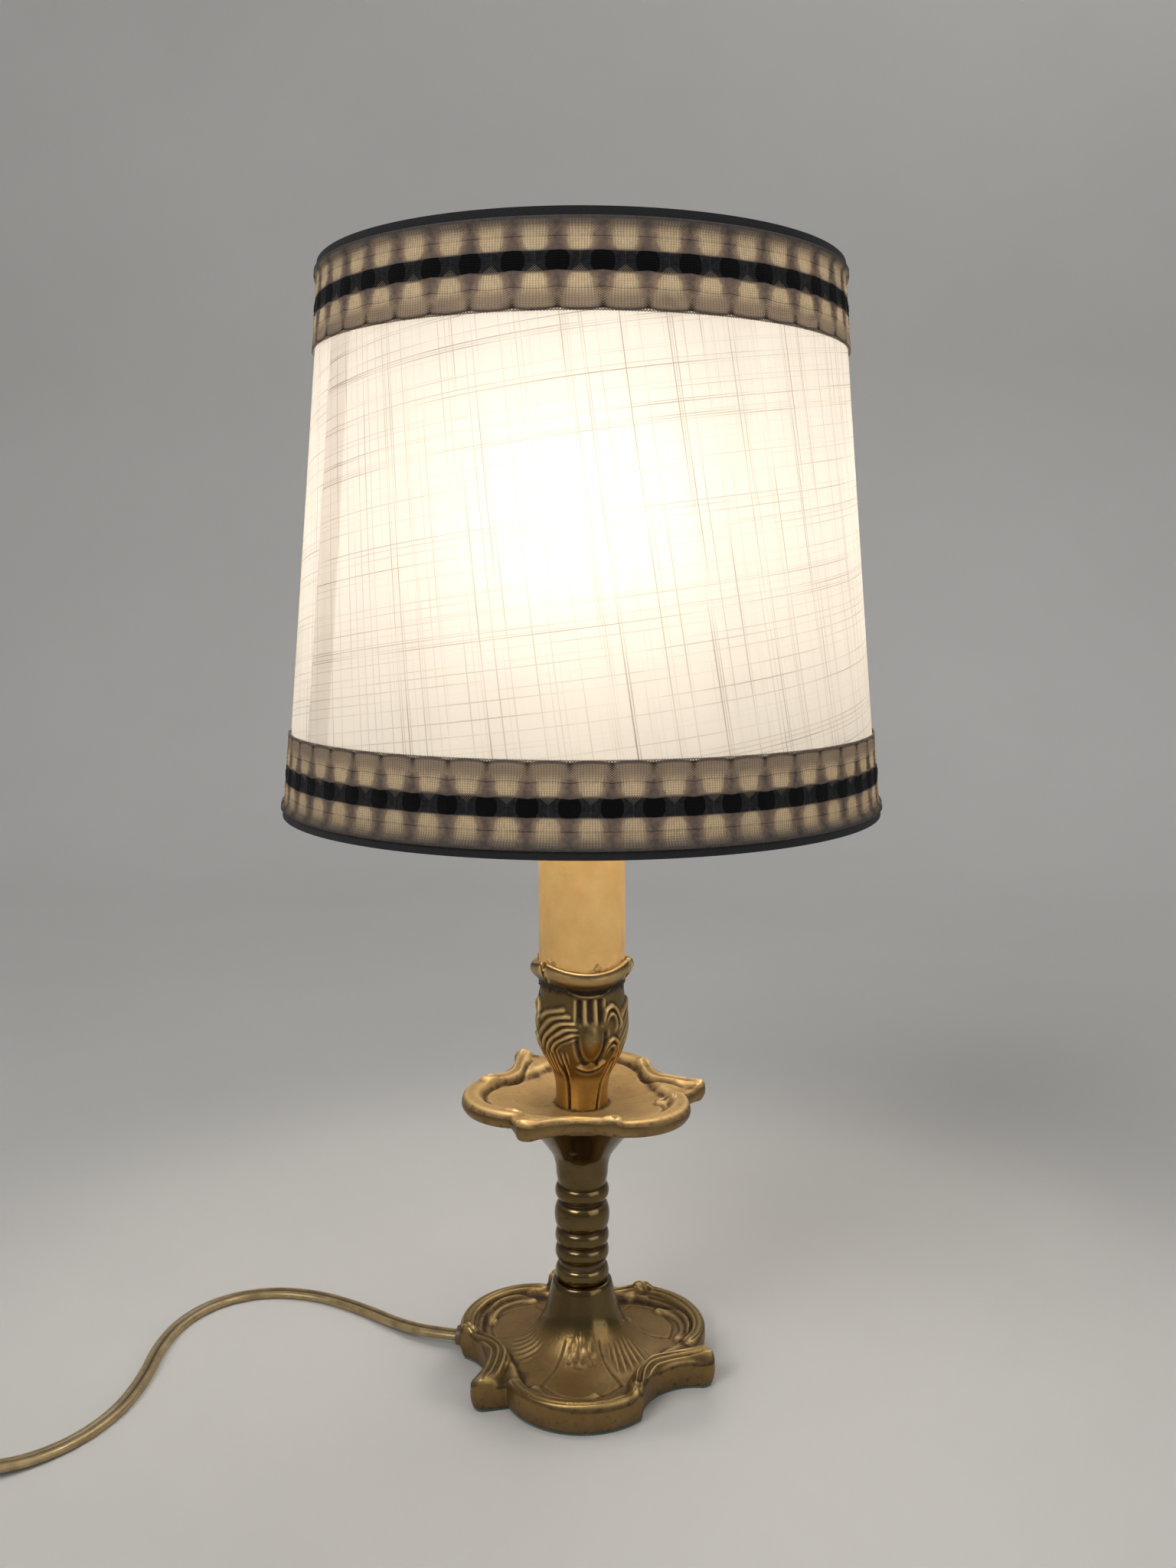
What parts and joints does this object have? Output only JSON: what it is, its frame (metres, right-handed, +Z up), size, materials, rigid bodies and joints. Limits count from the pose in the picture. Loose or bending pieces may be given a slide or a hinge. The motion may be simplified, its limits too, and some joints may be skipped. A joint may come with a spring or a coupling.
{
  "type": "table lamp",
  "caption": "Candle-style table lamp: cast brass foot, ringed stem, drip pan and cup, card sleeve, ball bulb, and a trimmed linen drum shade clipped to the bulb.",
  "frame": {"origin": "on the lamp's axis, on the table under the foot", "axes": "+Z up along the lamp's axis, -Y towards the front that the picture shows"},
  "size_m": [0.3589, 0.267, 0.3416],
  "materials": {
    "brass": "cast, polished and aged",
    "felt": "matte",
    "steel": "zinc plated",
    "white_wire": "satin",
    "spring_wire": "nickel plated",
    "card": "waxed",
    "phenolic": "moulded",
    "contact_brass": "plain",
    "opal_glass": "frosted",
    "bulb_cap": "drawn",
    "black_glass": "gloss",
    "clear_glass": "clear",
    "filament": "drawn",
    "linen": "slub weave",
    "liner": "matte",
    "edge_tape": "woven",
    "braid": "woven",
    "lead": "translucent gold",
    "cores": "translucent gold",
    "bush": "moulded",
    "tie": "coated wire",
    "switch": "moulded",
    "rocker": "moulded",
    "plug": "moulded",
    "pins": "nickel plated"
  },
  "bodies": {
    "lamp": {"foot_casting": "brass", "foot_felt": "felt", "foot_washer": "steel", "foot_nut": "steel", "threaded_tube": "steel", "stem_casting": "brass", "drip_pan": "brass", "candle_cup": "brass", "cup_washer": "steel", "cup_nut": "steel", "holder_bracket": "steel", "bracket_nuts": "steel", "holder_body": "phenolic", "bracket_screws": "steel", "screw_shell": "contact_brass", "centre_contact": "contact_brass", "terminals": "contact_brass", "terminal_screws": "steel", "inner_cores": "cores", "cord_bush": "bush", "cord_lead": "lead", "cord_link": "lead", "cord_coil": "lead", "cord_tail": "lead", "coil_tie": "tie", "switch_base": "switch", "switch_cover": "switch", "switch_screws": "steel", "switch_contacts": "contact_brass", "plug_body": "plug", "plug_pins": "pins", "pin_sleeves": "plug"},
    "sleeve": {"candle_sleeve": "card"},
    "bulb_contact": {"bulb_tip": "bulb_cap"},
    "bulb": {"bulb_glass": "opal_glass", "bulb_cap": "bulb_cap", "bulb_insulator": "black_glass", "bulb_mount": "clear_glass", "bulb_filament": "filament"},
    "clip": {"clip_plate": "spring_wire", "clip_loop_left": "spring_wire", "clip_loop_right": "spring_wire", "swivel_rivet": "spring_wire"},
    "shade": {"carrier_hub": "white_wire", "carrier_arms": "white_wire", "top_ring": "white_wire", "bottom_ring": "white_wire", "shade_fabric": "linen", "shade_liner": "liner", "top_edge_tape": "edge_tape", "bottom_edge_tape": "edge_tape", "top_braid": "braid", "bottom_braid": "braid"},
    "rocker": {"switch_rocker": "rocker", "rocker_axle": "steel"}
  },
  "joints": [
    {"name": "sleeve_lift", "type": "slide", "parent": "lamp", "child": "sleeve", "axis": [0, 0, 1], "range_m": [0, 0.009]},
    {"name": "bulb_rise", "type": "slide", "parent": "lamp", "child": "bulb_contact", "axis": [0, 0, 1], "range_m": [0, 0.01138]},
    {"name": "bulb_turn", "type": "hinge", "parent": "bulb_contact", "child": "bulb", "pos_m": [0, 0, 0.2265], "axis": [0, 0, 1], "range_deg": [0, 1440]},
    {"name": "shade_lift", "type": "slide", "parent": "bulb", "child": "clip", "axis": [0, 0, 1], "range_m": [0, 0.05]},
    {"name": "shade_turn", "type": "hinge", "parent": "clip", "child": "shade", "pos_m": [0, 0, 0.2993], "axis": [0, 0, 1], "continuous": true},
    {"name": "rocker_tip", "type": "hinge", "parent": "lamp", "child": "rocker", "pos_m": [-0.218, -0.074, 0.013], "axis": [-0.1736, 0.9848, 0], "range_deg": [0, 16]}
  ],
  "couplings": [
    {"joint": "bulb_rise", "follows": "bulb_turn", "m_per_rad": 0.00044882}
  ]
}
